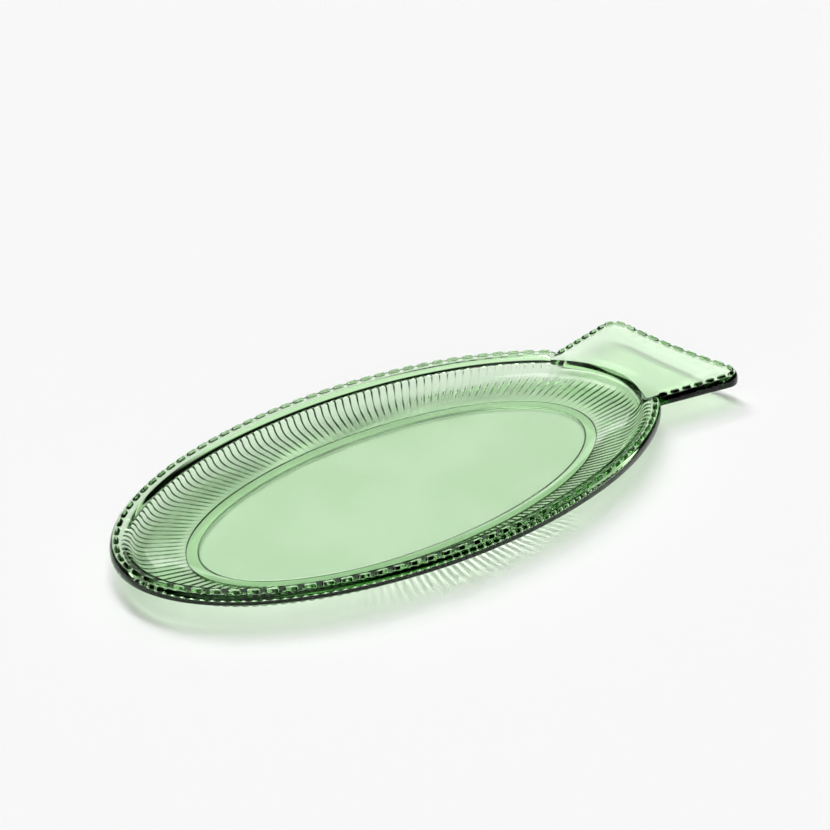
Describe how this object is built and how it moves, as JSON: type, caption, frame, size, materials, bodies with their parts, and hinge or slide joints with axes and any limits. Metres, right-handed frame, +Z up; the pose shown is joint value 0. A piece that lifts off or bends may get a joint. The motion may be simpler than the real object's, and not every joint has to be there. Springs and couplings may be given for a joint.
{
  "type": "serving dish",
  "caption": "Shallow oval serving dish of pressed green glass with a smooth well, a reeded outer wall, a beaded rim, a foot ring and a flat flared tail handle at one end.",
  "frame": {"origin": "middle of the dish's length and width, on the table surface under the foot ring", "axes": "+X along the dish towards the tail, +Z up"},
  "size_m": [0.353, 0.1676, 0.0202],
  "materials": {
    "green_glass": "polished pressed glass"
  },
  "bodies": {
    "root": {"glass_dish": "green_glass"}
  },
  "joints": []
}
